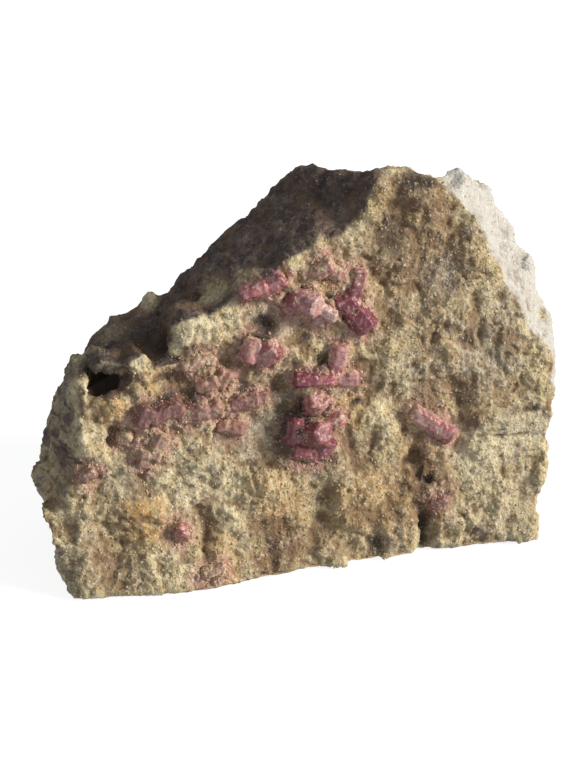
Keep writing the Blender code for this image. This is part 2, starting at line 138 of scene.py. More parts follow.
def edges_of(mesh):
    """The two vertices of each edge, as an array."""
    flat = np.empty(len(mesh.edges) * 2, np.int32)
    mesh.edges.foreach_get("vertices", flat)
    return flat.reshape(-1, 2)


def neighbour_counts(values, edges):
    """How many edges each vertex has, at least 1, in a shape that the values can be divided by."""
    count = np.maximum(np.bincount(edges.ravel(), minlength=len(values)), 1)
    return count.astype(float).reshape((-1,) + (1,) * (values.ndim - 1))


def neighbour_sums(values, edges):
    """For each vertex, the sum of the values at the far ends of its edges."""
    total = np.zeros_like(values)
    np.add.at(total, edges[:, 0], values[edges[:, 1]])
    np.add.at(total, edges[:, 1], values[edges[:, 0]])
    return total


def smoothed(values, edges, rounds, share=0.5):
    """Each vertex's value, moved towards the mean of its neighbours."""
    count = neighbour_counts(values, edges)
    for _ in range(rounds):
        values = values + share * (neighbour_sums(values, edges) / count - values)
    return values


def gap_to(tree, places):
    """The distance from each place to the tree's surface, both in millimetres."""
    return np.array([tree.find_nearest(Vector(place) * MM)[3] for place in places]) / MM


crystal_nodes = [node for name, node in frame["nodes"].items() if name != "matrix"]
crystal_tree = tree_of(crystal_nodes)


def whole_skin(obj):
    """The object's closed surface with its doubled vertices joined."""
    bm = skin_of(obj)
    bmesh.ops.remove_doubles(bm, verts=bm.verts, dist=DOUBLE_GAP)
    bmesh.ops.recalc_face_normals(bm, faces=bm.faces)
    return bm


def grown_skin(obj, reach):
    """The object's closed surface, moved outwards by reach millimetres."""
    held = add_piece("held", whole_skin(obj))
    remesh(held, SKIN_CELL)
    set_points(held.data, points_of(held.data) + reach * normals_of(held.data))
    grown = skin_of(held)
    bpy.data.objects.remove(held)
    return grown


def join_all(name, skins):
    """One object that holds all the meshes in skins."""
    joined = bmesh.new()
    for skin in skins:
        held = bpy.data.meshes.new("held")
        skin.to_mesh(held)
        skin.free()
        joined.from_mesh(held)
        bpy.data.meshes.remove(held)
    return add_piece(name, joined)


# Rounded bosses at the upper left, where the front stands out from the old break: the middle and the
# half sizes of each. Their roundness is the power of a unit ball's coordinates, 1 for a ball.
BOSSES = (
    ((-13.9, -4.3, 27.2), (2.9, 3.4, 3.9)),
    ((-20.6, -5.0, 24.1), (1.5, 3.3, 2.8)),
    ((-26.9, -4.6, 20.6), (1.0, 3.8, 3.5)),
    ((-22.8, -4.0, 25.1), (2.6, 2.8, 1.2)),
    ((-26.4, -2.4, 22.8), (1.1, 2.2, 2.2)),
)
BOSS_ROUNDNESS = 0.7
BOSS_WAVER, WAVER_SIZE = 0.8, 1.6


def boss_skin(middle, half_sizes):
    """A rounded, wavering block with its middle at that place."""
    bm = bmesh.new()
    bmesh.ops.create_icosphere(bm, subdivisions=4, radius=1.0)
    for vert in bm.verts:
        bulged = [math.copysign(abs(c) ** BOSS_ROUNDNESS, c) for c in vert.co]
        place = Vector([m + h * c for m, h, c in zip(middle, half_sizes, bulged)])
        vert.co = (place + BOSS_WAVER * noise.noise(place / WAVER_SIZE) * Vector(bulged)) * MM
    return bm


stone = join_all(
    "rhyolite_block",
    [whole_skin(frame["nodes"]["matrix"])]
    + [grown_skin(node, SOCKET_FILL) for node in crystal_nodes]
    + [boss_skin(middle, half_sizes) for middle, half_sizes in BOSSES],
)
remesh(stone, STONE_CELL)

edges = edges_of(stone.data)
points = points_of(stone.data)
foot = points[:, 2] < 0.4 * STONE_CELL
over_socket = gap_to(crystal_tree, points) < SOCKET_FILL + FILM_EDGE


def drawn_flat(values, edges, free, rounds):
    """The free vertices drawn in like a film over the mouths of the sockets."""
    inner = edges[free[edges[:, 0]] | free[edges[:, 1]]]
    count = neighbour_counts(values, inner)
    for _ in range(rounds):
        values[free] = (neighbour_sums(values, inner) / count)[free]
    return values


points = drawn_flat(points, edges, over_socket & ~foot, FILM_ROUNDS)
calm = smoothed(points, edges, BREAK_SMOOTHING)
calm[foot, 2] = 0
set_points(stone.data, calm)


def broad_normals(mesh, rounds):
    """The way that each part of the surface looks, without its small relief."""
    broad = smoothed(normals_of(mesh), edges_of(mesh), rounds)
    return broad / np.linalg.norm(broad, axis=1)[:, None]


def coarsen(piece, chosen, share):
    """Takes vertices out of the chosen part, until that share of the whole piece's faces is left."""
    group = piece.vertex_groups.new(name="coarse")
    group.add(np.flatnonzero(chosen).tolist(), 1.0, "ADD")
    thin = piece.modifiers.new("thin", "DECIMATE")
    thin.vertex_group = group.name
    thin.ratio = share
    apply_modifiers(piece)
    piece.vertex_groups.clear()


coarsen(stone, broad_normals(stone.data, 25) @ np.array(FRONT_OUT) < BACK_COSINE, BACK_SHARE)
outward = normals_of(stone.data)
broad = broad_normals(stone.data, 30)
points = points_of(stone.data)


def ease(low, high, value):
    """0 below low, 1 above high, smooth between."""
    share = np.clip((value - low) / (high - low), 0, 1)
    return share * share * (3 - 2 * share)


def looking(way, low, high):
    """How far the surface looks that way: not at all below the first cosine, all above the second."""
    return ease(low, high, broad @ np.array(way))


# Where the breaks end, in millimetres: each pair is where none and all of the break shows. The pale
# one starts at a slanting edge, given by its x and height at the top and how far it runs out below,
# and takes in a corner at the top.
DARK_BREAK_RIGHT, DARK_BREAK_FOOT = (10.5, 8.0), (10, 16)
PALE_BREAK_EDGE, PALE_BREAK_FOOT = (-0.8, 0.4), (12, 20)
PALE_EDGE_X, PALE_EDGE_HEIGHT, PALE_EDGE_SLANT = 16.5, 43.5, 0.475
PALE_CORNER, PALE_CORNER_REACH = (19.2, -0.8, 42.9), (2.6, 1.8)

facing_front = looking(FRONT_OUT, 0.55, 0.85)
on_dark_break = looking(DARK_BREAK_OUT, 0.30, 0.58)
on_dark_break *= ease(*DARK_BREAK_RIGHT, points[:, 0]) * ease(*DARK_BREAK_FOOT, points[:, 2])
on_pale_break = looking(PALE_BREAK_OUT, 0.72, 0.90)
past_edge = points[:, 0] - (PALE_EDGE_X + PALE_EDGE_SLANT * (PALE_EDGE_HEIGHT - points[:, 2]))
on_pale_break *= ease(*PALE_BREAK_EDGE, past_edge) * ease(*PALE_BREAK_FOOT, points[:, 2])
from_corner = np.linalg.norm(points - np.array(PALE_CORNER), axis=1)
on_pale_break = np.maximum(on_pale_break, ease(*PALE_CORNER_REACH, from_corner))
on_left_break = looking(LEFT_BREAK_OUT, 0.70, 0.90)
on_foot = ease(-0.6, -0.9, outward[:, 2]) * ease(1.0, 0.4, points[:, 2])

# --------------------------------------------------------------------------------------------------
# The stone's relief: lumps a millimetre or two across with hollows between them, sugar-like grains
# of feldspar and quartz on top, small vugs, splintery streaks beside the ledge, and a few hairline
# cracks. The stone stays just under the crystals' faces, but creeps over them in spots.
# --------------------------------------------------------------------------------------------------
# Break faces, each as its size, the step between neighbours and their slope, and the width of the
# easing between two of them. Then the sizes and heights of the rest, all in millimetres.
BREAK_SIZES = ((3.4, 0.42, 0.30), (1.5, 0.29, 0.42), (0.7, 0.18, 0.5))
BREAK_EASING = 0.16
SWELL_SIZE, SWELL_HEIGHT = 3.0, 0.26
ROUGH_SIZE, ROUGH_HEIGHT = 0.9, 0.13
VUG_SIZE, VUG_DEPTH = 2.3, 0.30
PIT_SIZE, PIT_DEPTH = 0.9, 0.14
STREAK_HEIGHT, STREAKED_HEIGHT = 0.10, 0.26
SPLINTER_HEIGHT = 0.24
LAYER_HEIGHT = 0.28

# Patches of the front: x, height, half width, half height, in millimetres, and how strongly they
# show.
STREAKED_PATCHES = (
    (-14.1, 27.8, 2.8, 3.7, 0.7),
    (17.5, 23.5, 2.0, 4.5, 0.8),
    (20.8, 21.0, 2.4, 4.0, 0.9),
    (3.5, 37.0, 2.5, 3.0, 0.6),
)
SPLINTERY_PATCHES = (
    (24.0, 14.6, 4.6, 2.0, 1.0),
    (25.5, 11.0, 3.0, 1.6, 0.5),
)
SMOOTH_PATCHES = (
    (-7.5, 15.6, 3.4, 2.6, 0.7),
    (-24.8, 25.8, 2.0, 1.2, 0.6),
    (-4.9, 27.9, 2.6, 1.3, 0.5),
    (18.5, 10.4, 3.6, 4.2, 0.6),
    (22.5, 5.0, 4.5, 3.4, 0.4),
)
# Round spots by place, radius and strength: deep holes, low lumps, and shallow dents where the
# block's edges are worn.
HOLES = (
    ((-24.7, -6.0, 22.8), 1.4, 0.6),
    ((-23.4, -6.0, 22.8), 1.3, 0.6),
    ((-18.4, -4.6, 26.6), 2.4, 0.35),
    ((-5.5, -6.9, 28.8), 0.9, 0.5),
    ((13.2, -11.1, 8.8), 0.6, 0.45),
)
LUMPS = (((-17.1, 2.4, 29.3), 1.1, 1.0), ((5.2, 0.6, 42.8), 2.2, 1.0))
DENTS = (
    ((-30.3, 3.8, 11.4), 3.0, 0.5),
    ((28.0, -0.4, 31.6), 1.8, 0.7),
    ((26.0, 2.6, 35.6), 2.6, 0.45),
    ((18.2, -1.6, 43.8), 2.2, 0.75),
    ((29.7, 2.6, 30.9), 1.6, 0.7),
)
HOLE_DEPTH, LUMP_HEIGHT = 1.8, 0.45

# Hairline cracks: x and height of each end, half width and depth. They waver to both sides, and only
# this share of their depth stands open.
CRACK_WAVER, CRACK_OPEN = 0.22, 0.7
CRACKS = (
    ((-8.2, 12.4), (-7.0, 7.5), 0.15, 0.35),
    ((21.5, 16.9), (24.8, 16.1), 0.18, 0.40),
    ((24.8, 16.1), (28.9, 15.8), 0.18, 0.40),
    ((19.0, 13.6), (23.5, 13.3), 0.15, 0.30),
    ((23.5, 13.3), (27.5, 12.7), 0.15, 0.30),
    ((-30.2, 11.6), (-27.2, 11.1), 0.2, 0.5),
    ((-10.4, 13.2), (-4.0, 12.2), 0.2, 0.4),
    ((-4.0, 12.2), (2.2, 12.3), 0.2, 0.35),
    ((-14.6, 8.2), (-13.6, 6.2), 0.3, 0.3),
    ((-13.6, 6.2), (-14.1, 3.8), 0.3, 0.3),
    ((12.7, 4.4), (12.1, 0.6), 0.5, 0.45),
    ((11.6, 12.0), (11.9, 9.2), 0.4, 0.45),
)


def patch(table):
    """How strongly a table of patches shows at each vertex of the front."""
    shows = np.zeros(len(points))
    for x, height, half_width, half_height, strength in table:
        away = np.hypot((points[:, 0] - x) / half_width, (points[:, 2] - height) / half_height)
        shows = np.maximum(shows, strength * ease(1.35, 0.55, away))
    return shows * facing_front


def near_spots(table):
    """How strongly a table of round spots shows at each vertex."""
    shows = np.zeros(len(points))
    for place, radius, strength in table:
        away = np.linalg.norm(points - np.array(place), axis=1) / radius
        shows = np.maximum(shows, strength * ease(1.25, 0.5, away))
    return shows


def over_points(measure, scale, stretch=(1, 1, 1), shift=0.0):
    """The measure of each vertex's place, in cells of that size, stretched along X, Y and Z."""
    cells = points / scale / np.array(stretch) + shift
    return np.array([measure(Vector(cell)) for cell in cells])


def break_level(cell, middle, slope):
    """The height of one small break face over a place."""
    own = noise.cell_vector(middle * 9.7)
    lean = Vector((own.y - 0.5, own.z - 0.5, 0.5 - own.x)) * slope * 2
    return own.x - 0.5 + lean.dot(cell - middle)


def hackle(cell, slope):
    """The height of a surface of small flat break faces, eased where two of them meet."""
    (near, next_near, *_), (middle, next_middle, *_) = noise.voronoi(cell)
    apart = min(1.0, (next_near - near) / BREAK_EASING)
    share = 0.5 + 0.5 * apart * apart * (3 - 2 * apart)
    mine = break_level(cell, middle, slope)
    return share * mine + (1 - share) * break_level(cell, next_middle, slope)


wander = over_points(noise.noise, 0.9)
swell = over_points(noise.noise, SWELL_SIZE, shift=5.0)
tooth = over_points(noise.noise, ROUGH_SIZE, shift=17.0)
fine_tooth = over_points(noise.noise, ROUGH_SIZE / 2.1, shift=29.0)
vugs = ease(0.26, 0.58, over_points(noise.noise, VUG_SIZE, shift=41.0))
pits = ease(0.24, 0.50, over_points(noise.noise, PIT_SIZE, shift=53.0))
upright_streaks = over_points(noise.noise, 0.55, stretch=(1, 1, 7), shift=61.0)
lying_streaks = over_points(noise.noise, 0.45, stretch=(9, 1, 1), shift=71.0)
layers = over_points(noise.noise, 0.5, stretch=(9, 9, 1), shift=79.0)

streaked = patch(STREAKED_PATCHES)
splintery = patch(SPLINTERY_PATCHES)
smooth = np.maximum(patch(SMOOTH_PATCHES), np.maximum(0.75 * on_pale_break, 0.6 * on_dark_break))
smooth = np.maximum(smooth, 0.5 * on_left_break)
rough = 1 - 0.75 * np.maximum(smooth, 0.7 * np.maximum(streaked, splintery))

relief = SWELL_HEIGHT * swell + ROUGH_HEIGHT * rough * (tooth + 0.6 * fine_tooth)
for i, (size, height, slope) in enumerate(BREAK_SIZES):
    steps = over_points(lambda cell: hackle(cell, slope), size, shift=97.0 + 10 * i)
    relief += height * (0.3 + 0.7 * rough) * steps
relief -= VUG_DEPTH * vugs * rough + PIT_DEPTH * pits * rough
streaks = (STREAK_HEIGHT + STREAKED_HEIGHT * streaked) * upright_streaks
relief += streaks + SPLINTER_HEIGHT * splintery * lying_streaks
relief += LAYER_HEIGHT * on_left_break * layers
relief -= np.mean(relief)


def crack_depth():
    """How deep the hairline cracks cut at each vertex of the front."""
    depth = np.zeros(len(points))
    for (x0, h0), (x1, h1), half_width, deep in CRACKS:
        length = math.hypot(x1 - x0, h1 - h0)
        ux, uh = (x1 - x0) / length, (h1 - h0) / length
        dx, dh = points[:, 0] - x0, points[:, 2] - h0
        share = np.clip((dx * ux + dh * uh) / length, 0, 1)
        side = np.hypot(dx - share * length * ux, dh - share * length * uh)
        side = side + CRACK_WAVER * wander
        cut = CRACK_OPEN * deep * ease(2.0 * half_width, 0.2 * half_width, side)
        depth = np.maximum(depth, cut)
    return depth * facing_front


cracks = crack_depth()
holes = near_spots(HOLES)
relief += LUMP_HEIGHT * near_spots(LUMPS) - HOLE_DEPTH * holes - cracks
relief *= 1 - on_foot
moved = points + outward * (relief - HOLE_DEPTH * near_spots(DENTS))[:, None]

# The lowest band of the block comes down round the sole, unevenly and further at the left, so that
# its edge meets the shelf.
FOOT_BAND = (1.4, 0.3)
FOOT_DROP, LESS_AT_RIGHT, UNEVEN = 0.30, 0.10, 0.12
foot_drop = FOOT_DROP - LESS_AT_RIGHT * ease(-12, -6, points[:, 0]) - UNEVEN * wander
moved[:, 2] = np.maximum(moved[:, 2] - ease(*FOOT_BAND, points[:, 2]) * foot_drop, 0)

# How far in front of a place its crystal is looked for, how near to a crystal the stone is sunk, how
# deep it stays below a face, how far it creeps up over one, and how far it may stand out beforehand.
LOOK_FROM, NEAR_CRYSTAL = 6.0, 1.2
UNDER_CRYSTAL, CREEP, OVERHANG = 0.10, 0.5, 1.6
CREEP_SIZE = 1.2
SLOPE_ROUNDS, SLOPE_SHARE = 10, 0.9


def kept_below(places, chosen):
    """Sinks the chosen vertices under the crystals' faces, with a slope down to them."""
    creep = CREEP * ease(0.06, 0.34, over_points(noise.noise, CREEP_SIZE, shift=113.0))
    drop = np.zeros((len(places), 1))
    for i in np.flatnonzero(chosen):
        start = Vector(places[i]) + LOOK_FROM * FRONT_OUT
        hit, _, _, distance = crystal_tree.ray_cast(start * MM, -FRONT_OUT, 2 * LOOK_FROM * MM)
        above = LOOK_FROM - distance / MM if hit is not None else UNDER_CRYSTAL
        below = UNDER_CRYSTAL - creep[i]
        if -OVERHANG < above < below:
            drop[i] = below - above
    own = drop
    links = edges_of(stone.data)
    for _ in range(SLOPE_ROUNDS):
        drop = np.maximum(own, smoothed(drop, links, 1, SLOPE_SHARE))
    return places - drop * np.array(FRONT_OUT)


moved = kept_below(moved, gap_to(crystal_tree, moved) < NEAR_CRYSTAL)
set_points(stone.data, moved)
stone.data.shade_smooth()

# --------------------------------------------------------------------------------------------------
# The stone's colours: cream and tan sugar, ochre where iron has washed over it, brown and grey
# bands, a dark old break at the upper left, a bleached fresh one at the right. Painted shade darkens
# the hollows, holes, cracks and low parts and deepens the old break, and painted light makes some of
# the cream paler. Each vertex carries how much of each it has. The patches are laid out as those of
# the relief.
# --------------------------------------------------------------------------------------------------
OCHRE_STAINS = (
    (-20.8, 8.0, 3.4, 2.8, 1.0),
    (12.4, 8.6, 2.8, 5.4, 0.95),
    (-6.3, 3.0, 2.6, 3.4, 0.4),
    (9.6, 41.0, 1.8, 2.0, 0.4),
    (-24.3, 20.7, 2.4, 1.6, 0.9),
    (-11.6, 2.6, 1.8, 3.2, 0.8),
    (-5.5, 8.0, 4.0, 5.5, 0.6),
    (4.5, 18.0, 1.6, 2.6, 0.6),
    (6.0, 6.5, 5.0, 4.5, 0.65),
    (-19.4, 23.4, 1.4, 1.6, 0.6),
    (-10.4, 26.0, 1.2, 2.4, 0.5),
    (9.6, 32.0, 2.0, 2.2, 0.5),
    (1.2, 33.0, 1.6, 1.4, 0.6),
    (12.4, 14.5, 2.4, 2.4, 0.4),
    (17.0, 42.0, 1.6, 2.2, 0.5),
)
BROWN_PATCHES = (
    (13.0, 36.0, 6.5, 7.5, 0.75),
    (13.6, 25.0, 3.4, 3.4, 0.6),
    (-4.0, 19.6, 3.0, 2.8, 0.6),
    (-2.6, 13.0, 2.6, 2.4, 0.6),
    (3.0, 12.0, 2.6, 3.0, 0.6),
    (13.0, 40.5, 3.4, 2.4, 0.6),
    (16.8, 32.6, 2.4, 2.4, 0.6),
    (2.4, 13.6, 2.6, 1.6, 0.5),
    (14.8, 33.5, 4.6, 5.5, 0.95),
    (9.9, 37.4, 1.8, 2.6, 1.0),
    (4.6, 35.6, 4.5, 2.6, 0.55),
    (-6.3, 3.2, 3.4, 4.2, 1.0),
    (0.2, 12.4, 3.2, 1.6, 0.8),
    (12.6, 7.6, 3.1, 6.8, 1.0),
    (-5.8, 3.0, 3.6, 2.4, 0.55),
    (-5.4, 14.0, 3.0, 3.2, 0.4),
    (-1.5, 14.5, 2.6, 2.0, 0.4),
    (20.5, 18.6, 3.8, 2.8, 0.7),
    (17.0, 24.0, 7.0, 6.0, 0.45),
    (1.0, 8.0, 6.0, 6.0, 0.35),
    (-6.5, 23.0, 4.0, 4.0, 0.45),
    (10.4, 37.8, 3.0, 3.8, 1.0),
    (15.6, 34.6, 3.6, 3.6, 0.75),
    (11.5, 42.5, 5.0, 1.6, 0.8),
    (12.2, 10.0, 1.8, 3.4, 0.9),
    (14.6, 8.5, 2.4, 3.0, 0.9),
    (-9.2, 24.6, 2.2, 2.4, 0.7),
    (-16.7, 23.6, 2.6, 1.0, 0.9),
    (-5.0, 21.6, 2.0, 2.2, 0.8),
    (11.0, 29.6, 2.6, 3.0, 0.5),
    (-7.0, 20.0, 1.4, 2.6, 0.6),
    (-25.0, 4.6, 3.6, 4.2, 0.45),
    (-13.8, 5.6, 1.2, 3.4, 0.5),
    (6.5, 2.0, 1.4, 1.8, 0.8),
    (12.6, 2.6, 1.2, 2.8, 0.8),
    (1.0, 3.0, 1.6, 3.0, 0.4),
)
GREY_PATCHES = (
    (-7.2, 15.8, 4.0, 3.0, 0.9),
    (-4.4, 28.6, 3.2, 1.8, 0.9),
    (23.6, 28.2, 3.4, 2.4, 0.8),
    (20.6, 22.6, 3.6, 4.4, 0.6),
    (24.2, 14.2, 4.6, 2.4, 0.45),
    (24.4, 9.4, 1.6, 2.4, 0.6),
    # Painted shade: the slab over the cave at the upper left is greyed, as if it faced away from the
    # lamp.
    (-24.8, 25.6, 2.6, 1.4, 0.8),
    (-22.2, 12.6, 3.4, 2.2, 0.6),
    (-12.5, 13.4, 5.0, 2.4, 0.25),
    (15.6, 32.0, 2.6, 2.4, 0.6),
    (-0.6, 19.8, 4.6, 0.8, 0.7),
    (13.4, 21.0, 3.0, 2.6, 0.5),
    (22.0, 4.0, 4.5, 3.4, 0.35),
)
# Patches of painted shade: the hollows, the caves and a strip along the top edge, darkened as if
# shaded.
HOLLOW_SHADE_PATCHES = (
    (-24.9, 23.7, 1.9, 1.15, 1.0),
    (-5.6, 28.7, 1.1, 0.8, 0.9),
    (0.5, 23.6, 1.2, 1.0, 0.4),
    (13.3, 8.8, 0.75, 0.7, 1.0),
    (6.5, 1.9, 0.9, 1.2, 0.8),
    (12.3, 2.6, 0.7, 2.4, 0.8),
    (11.9, 27.7, 0.5, 0.5, 1.0),
    (18.2, 24.6, 0.7, 0.6, 0.7),
    (20.6, 26.7, 0.5, 0.5, 0.8),
    (-24.0, 17.4, 0.8, 1.1, 0.7),
    (-28.9, 15.2, 1.8, 0.9, 0.9),
    (14.2, 43.0, 2.9, 0.9, 0.9),
    (-17.2, 23.6, 1.8, 0.6, 0.6),
    (1.4, 12.9, 0.9, 0.9, 0.6),
    (25.2, 16.0, 3.2, 0.35, 0.45),
    (9.8, 37.2, 1.6, 2.6, 0.75),
    (12.0, 7.4, 0.9, 3.4, 0.35),
    (-5.4, 2.6, 1.6, 2.6, 0.22),
    (13.8, 34.0, 0.8, 1.6, 0.35),
    (-6.8, 4.4, 0.5, 1.0, 0.5),
    (-3.9, 18.4, 1.1, 2.2, 0.5),
)
# Pale cream: the stone's own colour, and at the upper left also painted light, paler where the faces
# turn from the lamp.
CREAM_PATCHES = (
    (-14.1, 28.0, 3.0, 4.0, 1.0),
    (-27.6, 21.0, 0.9, 4.6, 0.9),
    (-20.2, 25.0, 1.8, 1.8, 0.7),
    (-7.5, 30.6, 3.4, 2.2, 0.9),
    (5.6, 38.6, 1.6, 2.6, 0.6),
    (18.2, 11.2, 2.8, 3.4, 1.0),
    (20.0, 26.0, 2.6, 1.2, 0.7),
    (23.5, 12.6, 4.4, 2.2, 0.8),
    (-17.0, 10.4, 4.2, 3.4, 0.8),
    (-10.4, 8.6, 3.4, 3.4, 0.65),
    (-10.4, 3.4, 2.6, 2.8, 0.65),
    (-17.5, 15.6, 3.4, 2.0, 0.6),
    (9.5, 20.5, 3.0, 3.4, 0.4),
    (-29.0, 7.5, 2.2, 3.2, 0.5),
    (-18.0, 3.0, 3.6, 2.2, 0.5),
)
# Round spots, as those of the relief: caves darkened as painted shade, more of the old break's brown
# as painted shade, less of it, and the cream ridge down the left side, painted pale as a highlight.
CAVE_SHADE_SPOTS = (
    ((-23.6, -5.2, 22.4), 2.1, 1.0),
    ((-15.9, -3.4, 26.0), 2.2, 0.6),
    ((-18.0, -1.6, 26.2), 1.8, 0.5),
    ((2.6, 1.6, 41.6), 4.6, 0.3),
)
BREAK_SHADE_SPOTS = (
    ((-17.8, -3.4, 26.6), 3.2, 1.0),
    ((-16.2, -3.0, 25.6), 2.2, 0.8),
    ((-24.2, -5.0, 23.4), 2.6, 1.0),
    ((-22.6, -5.0, 22.9), 1.5, 0.8),
    ((-29.4, -6.6, 14.6), 1.6, 0.9),
    ((13.2, -3.2, 43.6), 1.5, 0.9),
    ((15.4, -3.4, 43.4), 1.3, 0.9),
)
WASHED_SPOTS = (
    ((-17.1, 2.4, 29.3), 1.5, 0.9),
    ((-22.0, 0.4, 26.4), 2.2, 0.3),
    ((6.6, -0.6, 43.4), 0.7, 0.9),
    ((-10.4, -3.4, 31.6), 2.4, 0.8),
    ((-7.2, -5.0, 32.8), 2.2, 0.8),
)
# The left ridge is painted pale cream, a painted highlight.
LIT_RIDGE = (((-27.0, -7.6, 22.0), 2.4, 1.0), ((-27.2, -8.2, 18.6), 1.8, 1.0))

mottle = over_points(noise.noise, 2.6, shift=83.0)
speck = over_points(noise.noise, 0.7, shift=97.0)


def stain(table, raggedness=0.55):
    """A table of patches with ragged edges."""
    return np.clip(patch(table) * (1 + raggedness * mottle + 0.4 * speck) * 1.1, 0, 1)


def carry(mesh, name, values):
    """Gives the mesh a number for each vertex."""
    layer = mesh.attributes.new(name, "FLOAT", "POINT")
    layer.data.foreach_set("value", values.astype(np.float32))


crystal_gap = gap_to(crystal_tree, moved)
height_share = np.clip(0.5 + relief / 0.9, 0, 1)

carry(stone.data, "ochre", stain(OCHRE_STAINS, 1.2))
carry(stone.data, "brown", stain(BROWN_PATCHES))
carry(stone.data, "grey", stain(GREY_PATCHES))
# Painted shade: the holes, the cracks, the shaded patches and the caves are darkened in colour.
hollow_shade = patch(HOLLOW_SHADE_PATCHES) + holes + 0.7 * ease(0.15, 0.6, cracks) + near_spots(CAVE_SHADE_SPOTS)
carry(stone.data, "hollow", np.clip(hollow_shade, 0, 1))
# The cream is partly painted light: paler on the left ridge and at the upper left, where the faces turn
# from the lamp.
carry(stone.data, "cream", np.maximum(stain(CREAM_PATCHES), 0.9 * near_spots(LIT_RIDGE)))

# The old break is brown all over but for its left end, and the layers of the left break in stripes.
# Its dark brown is partly its own and partly painted shade, deepest in the caves and along the top
# edge.
weathered_and_shaded = ease(-29, -20, points[:, 0] + 4 * mottle) * on_dark_break + 0.3 * on_dark_break
weathered_and_shaded += on_left_break * (0.12 + 0.6 * ease(0.0, 0.35, layers))
weathered_and_shaded = np.clip(weathered_and_shaded + near_spots(BREAK_SHADE_SPOTS), 0, 1)
weathered_and_shaded = weathered_and_shaded * (1 - near_spots(WASHED_SPOTS)) * (1 - near_spots(LIT_RIDGE))
carry(stone.data, "old_break", weathered_and_shaded)
carry(stone.data, "fresh_break", on_pale_break)
carry(stone.data, "height", height_share)
carry(stone.data, "blush", ease(1.9, 0.2, crystal_gap + 0.8 * mottle))


class Wire:
    """One output of a shader node. Sums, differences and products of wires add Math nodes."""

    def __init__(self, tree, socket):
        self.tree = tree
        self.socket = socket

    def maths(self, operation, first, second):
        """The outcome of a Math node on two wires or numbers."""
        node = self.tree.nodes.new("ShaderNodeMath")
        node.operation = operation
        for slot, value in zip(node.inputs, (first, second)):
            connect(self.tree, slot, value)
        return Wire(self.tree, node.outputs[0])

    def __add__(self, other):
        return self.maths("ADD", self, other)

    __radd__ = __add__

    def __mul__(self, other):
        return self.maths("MULTIPLY", self, other)

    __rmul__ = __mul__

    def __sub__(self, other):
        return self.maths("SUBTRACT", self, other)

    def __rsub__(self, other):
        return self.maths("SUBTRACT", other, self)

    def at_least(self, other):
        """The greater of the two."""
        return self.maths("MAXIMUM", self, other)


def connect(tree, slot, value):
    """Links a wire to a socket, or sets the socket's own value."""
    if isinstance(value, Wire):
        tree.links.new(value.socket, slot)
    elif isinstance(value, tuple) and len(value) == 3 and slot.type == "RGBA":
        slot.default_value = (*value, 1)
    else:
        slot.default_value = value


class Finish:
    """A material and the few kinds of node that it is built from."""

    def __init__(self, name):
        self.material = bpy.data.materials.new(name)
        self.material.use_nodes = True
        self.tree = self.material.node_tree
        self.tree.nodes.clear()
        where = self.node("ShaderNodeTexCoord", out="Object")
        self.place = self.node(
            "ShaderNodeVectorMath", {"operation": "SCALE"}, {0: where, "Scale": 1 / MM}
        )

    def node(self, kind, settings=None, values=None, out=0):
        """A node of that kind with its settings and the values or wires of its sockets, as a wire."""
        node = self.tree.nodes.new(kind)
        for name, setting in (settings or {}).items():
            if name == "stops":
                lay_stops(node.color_ramp, setting)
            else:
                setattr(node, name, setting)
        for slot, value in (values or {}).items():
            connect(self.tree, node.inputs[slot], value)
        return Wire(self.tree, node.outputs[out]) if node.outputs else None

    def carried(self, name):
        """A number that the mesh carries."""
        return self.node("ShaderNodeAttribute", {"attribute_name": name}, out="Fac")

    def scaled_place(self, size, shift):
        """The place counted in features of that size, in millimetres, from a shifted start."""
        return self.node(
            "ShaderNodeMapping",
            {"vector_type": "TEXTURE"},
            {"Vector": self.place, "Scale": (size,) * 3, "Location": (shift,) * 3},
        )

    def clouds(self, size, detail=4, roughness=0.6, shift=0.0):
        """Soft noise from 0 to 1 with features of that size in millimetres."""
        place = self.scaled_place(size, shift)
        return self.node(
            "ShaderNodeTexNoise",
            values={"Vector": place, "Scale": 1.0, "Detail": detail, "Roughness": roughness},
        )

    def cells(self, size, out="Distance", shift=0.0):
        """Cells of that size in millimetres: the distance to a cell's middle, or its random colour."""
        place = self.scaled_place(size, shift)
        return self.node("ShaderNodeTexVoronoi", values={"Vector": place, "Scale": 1.0}, out=out)

    def grey_of(self, colour):
        """One number from a colour."""
        return self.node("ShaderNodeSeparateColor", values={"Color": colour}, out="Red")

    def step(self, value, low, high):
        """0 below low, 1 above high, smooth between."""
        return self.node(
            "ShaderNodeMapRange",
            {"interpolation_type": "SMOOTHSTEP"},
            {"Value": value, "From Min": low, "From Max": high, "To Min": 0.0, "To Max": 1.0},
        )

    def ramp(self, value, stops):
        """A colour from a row of stops."""
        return self.node("ShaderNodeValToRGB", {"stops": stops}, {"Fac": value})

    def mix(self, share, first, second):
        """The first colour turning into the second. A Mix node's colours are its sockets 6, 7 and 2."""
        values = {0: share, 6: first, 7: second}
        return self.node("ShaderNodeMix", {"data_type": "RGBA"}, values, out=2)

    def bump(self, height, depth, below=None):
        """A normal from a height between 0 and 1, depth in millimetres."""
        values = {"Height": height, "Distance": depth * MM, "Strength": 1.0}
        if below is not None:
            values["Normal"] = below
        return self.node("ShaderNodeBump", values=values)

    def surface(self, **values):
        """A Principled surface. Each socket is named with _ for its spaces."""
        named = {key.replace("_", " "): value for key, value in values.items()}
        return self.node("ShaderNodeBsdfPrincipled", values=named)

    def done(self, surface):
        """Closes the material on that surface and returns it."""
        self.node("ShaderNodeOutputMaterial", values={"Surface": surface})
        return self.material


def lay_stops(band, stops):
    """Sets a colour band's stops, each a place and a colour."""
    while len(band.elements) < len(stops):
        band.elements.new(1.0)
    for element, (place, colour) in zip(band.elements, stops):
        element.position = place
        element.color = (*colour, 1)


